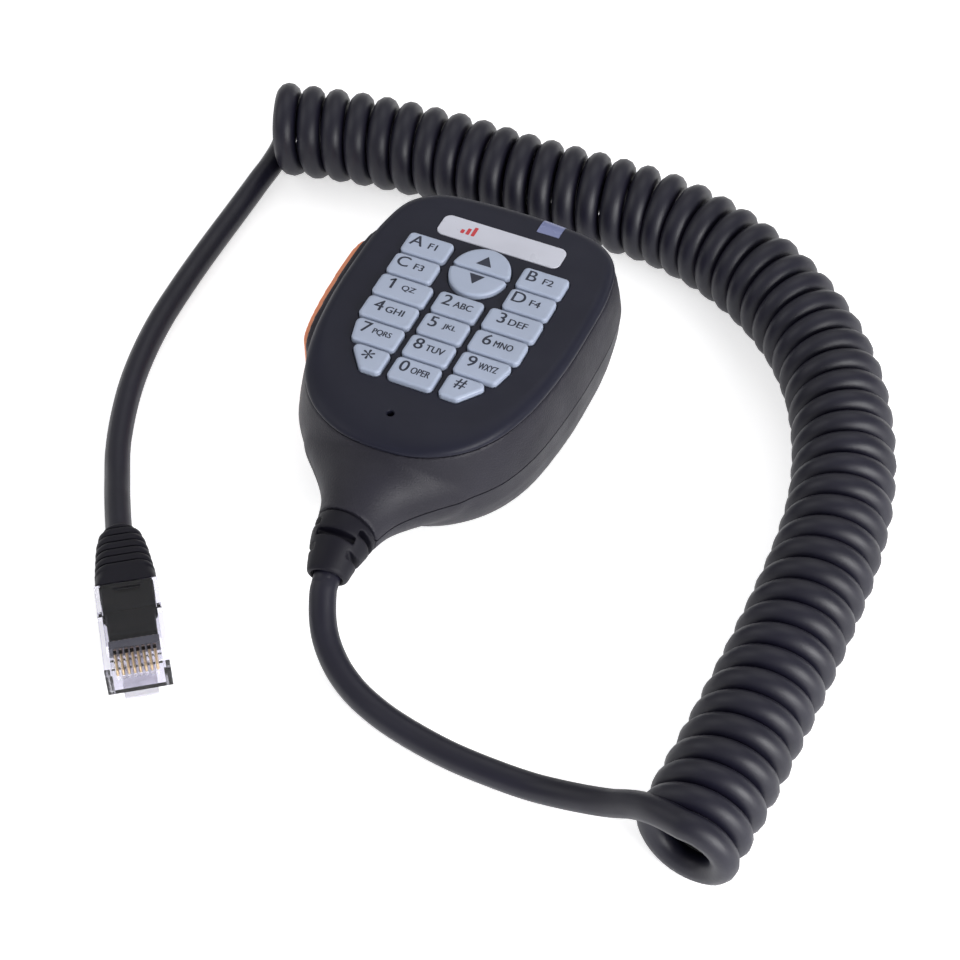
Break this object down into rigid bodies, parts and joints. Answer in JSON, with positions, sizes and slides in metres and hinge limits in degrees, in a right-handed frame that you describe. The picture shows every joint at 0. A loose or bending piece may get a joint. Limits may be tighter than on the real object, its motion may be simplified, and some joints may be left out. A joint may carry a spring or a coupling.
{
  "type": "hand microphone",
  "caption": "Two-way radio hand microphone with an illuminated keypad, a side push-to-talk bar and a curly cord ending in a modular plug.",
  "frame": {"origin": "under the middle of the microphone's own box (cord and plug left out), on the surface it lies on", "axes": "+Y towards the microphone's top end, +Z out of its key face, +X to the right of the key face"},
  "size_m": [0.1639, 0.1622, 0.028],
  "materials": {
    "casing": "black moulded plastic with a fine texture",
    "panel": "smooth charcoal plastic, low sheen",
    "label": "pearl-white metallic print on plastic",
    "lamp_window": "translucent lavender plastic",
    "key_cap": "translucent pale blue-grey, satin, dark printed legends",
    "soft_rubber": "black rubber",
    "cord_jacket": "black satin thermoplastic rubber",
    "ptt_orange": "salmon-orange satin plastic",
    "board": "green circuit-board laminate",
    "steel": "plated steel",
    "chromed": "bright plated steel",
    "white_plastic": "natural nylon",
    "black_plastic": "black plastic",
    "clear_plastic": "clear polycarbonate",
    "gold": "gold-plated contact blades"
  },
  "bodies": {
    "microphone": {"front_shell": "casing", "rear_shell": "casing", "face_panel": "panel", "label_plate": "label", "led_window": "lamp_window", "keypad_mat": "soft_rubber", "main_pcb": "board", "mic_capsule": "steel", "mic_grommet": "soft_rubber", "status_led": "white_plastic", "cord_connector": "white_plastic", "ptt_hinge_pin": "steel", "ptt_switch": "black_plastic", "hanger_stud": "chromed", "hanger_screw": "steel", "case_screw_1": "steel", "case_screw_2": "steel", "case_screw_3": "steel", "case_screw_4": "steel", "board_screw_1": "steel", "board_screw_2": "steel", "cable_clamp": "white_plastic", "strain_relief": "soft_rubber", "cord_inner": "cord_jacket", "cord_mic_tail": "cord_jacket", "cord_curl": "cord_jacket", "cord_plug_tail": "cord_jacket", "plug_boot": "soft_rubber", "plug_insert": "soft_rubber", "plug_load_bar": "white_plastic", "plug_housing": "clear_plastic", "plug_contact_1": "gold", "plug_contact_2": "gold", "plug_contact_3": "gold", "plug_contact_4": "gold", "plug_contact_5": "gold", "plug_contact_6": "gold", "plug_contact_7": "gold", "plug_contact_8": "gold"},
    "key_a_cap": {"key_a": "key_cap"},
    "key_b_cap": {"key_b": "key_cap"},
    "key_c_cap": {"key_c": "key_cap"},
    "key_d_cap": {"key_d": "key_cap"},
    "key_1_cap": {"key_1": "key_cap"},
    "key_2_cap": {"key_2": "key_cap"},
    "key_3_cap": {"key_3": "key_cap"},
    "key_4_cap": {"key_4": "key_cap"},
    "key_5_cap": {"key_5": "key_cap"},
    "key_6_cap": {"key_6": "key_cap"},
    "key_7_cap": {"key_7": "key_cap"},
    "key_8_cap": {"key_8": "key_cap"},
    "key_9_cap": {"key_9": "key_cap"},
    "key_star_cap": {"key_star": "key_cap"},
    "key_0_cap": {"key_0": "key_cap"},
    "key_hash_cap": {"key_hash": "key_cap"},
    "key_up_cap": {"key_up": "key_cap"},
    "key_down_cap": {"key_down": "key_cap"},
    "push_to_talk": {"ptt_bar": "ptt_orange"},
    "switch_plunger": {"ptt_plunger": "white_plastic"},
    "latch": {"plug_latch": "clear_plastic"}
  },
  "joints": [
    {"name": "key_a_press", "type": "slide", "parent": "microphone", "child": "key_a_cap", "axis": [0, 0, -1], "range_m": [0, 0.0006], "stiffness_N_per_m": 2500},
    {"name": "key_b_press", "type": "slide", "parent": "microphone", "child": "key_b_cap", "axis": [0, 0, -1], "range_m": [0, 0.0006], "stiffness_N_per_m": 2500},
    {"name": "key_c_press", "type": "slide", "parent": "microphone", "child": "key_c_cap", "axis": [0, 0, -1], "range_m": [0, 0.0006], "stiffness_N_per_m": 2500},
    {"name": "key_d_press", "type": "slide", "parent": "microphone", "child": "key_d_cap", "axis": [0, 0, -1], "range_m": [0, 0.0006], "stiffness_N_per_m": 2500},
    {"name": "key_1_press", "type": "slide", "parent": "microphone", "child": "key_1_cap", "axis": [0, 0, -1], "range_m": [0, 0.0006], "stiffness_N_per_m": 2500},
    {"name": "key_2_press", "type": "slide", "parent": "microphone", "child": "key_2_cap", "axis": [0, 0, -1], "range_m": [0, 0.0006], "stiffness_N_per_m": 2500},
    {"name": "key_3_press", "type": "slide", "parent": "microphone", "child": "key_3_cap", "axis": [0, 0, -1], "range_m": [0, 0.0006], "stiffness_N_per_m": 2500},
    {"name": "key_4_press", "type": "slide", "parent": "microphone", "child": "key_4_cap", "axis": [0, 0, -1], "range_m": [0, 0.0006], "stiffness_N_per_m": 2500},
    {"name": "key_5_press", "type": "slide", "parent": "microphone", "child": "key_5_cap", "axis": [0, 0, -1], "range_m": [0, 0.0006], "stiffness_N_per_m": 2500},
    {"name": "key_6_press", "type": "slide", "parent": "microphone", "child": "key_6_cap", "axis": [0, 0, -1], "range_m": [0, 0.0006], "stiffness_N_per_m": 2500},
    {"name": "key_7_press", "type": "slide", "parent": "microphone", "child": "key_7_cap", "axis": [0, 0, -1], "range_m": [0, 0.0006], "stiffness_N_per_m": 2500},
    {"name": "key_8_press", "type": "slide", "parent": "microphone", "child": "key_8_cap", "axis": [0, 0, -1], "range_m": [0, 0.0006], "stiffness_N_per_m": 2500},
    {"name": "key_9_press", "type": "slide", "parent": "microphone", "child": "key_9_cap", "axis": [0, 0, -1], "range_m": [0, 0.0006], "stiffness_N_per_m": 2500},
    {"name": "key_star_press", "type": "slide", "parent": "microphone", "child": "key_star_cap", "axis": [0, 0, -1], "range_m": [0, 0.0006], "stiffness_N_per_m": 2500},
    {"name": "key_0_press", "type": "slide", "parent": "microphone", "child": "key_0_cap", "axis": [0, 0, -1], "range_m": [0, 0.0006], "stiffness_N_per_m": 2500},
    {"name": "key_hash_press", "type": "slide", "parent": "microphone", "child": "key_hash_cap", "axis": [0, 0, -1], "range_m": [0, 0.0006], "stiffness_N_per_m": 2500},
    {"name": "key_up_press", "type": "slide", "parent": "microphone", "child": "key_up_cap", "axis": [0, 0, -1], "range_m": [0, 0.0006], "stiffness_N_per_m": 2500},
    {"name": "key_down_press", "type": "slide", "parent": "microphone", "child": "key_down_cap", "axis": [0, 0, -1], "range_m": [0, 0.0006], "stiffness_N_per_m": 2500},
    {"name": "ptt_press", "type": "hinge", "parent": "microphone", "child": "push_to_talk", "pos_m": [-0.02365, 0.02963, 0.014], "axis": [0, 0, 1], "range_deg": [0, 3], "stiffness_Nm_per_rad": 0.6},
    {"name": "switch_travel", "type": "slide", "parent": "microphone", "child": "switch_plunger", "axis": [1, 0, 0], "range_m": [0, 0.0009]},
    {"name": "latch_flex", "type": "hinge", "parent": "microphone", "child": "latch", "pos_m": [-0.01936, -0.07651, 0.00439], "axis": [0.807, 0.5906, 0], "range_deg": [0, 6], "stiffness_Nm_per_rad": 0.6}
  ],
  "couplings": [
    {"joint": "switch_travel", "follows": "ptt_press", "m_per_rad": 0.015}
  ]
}
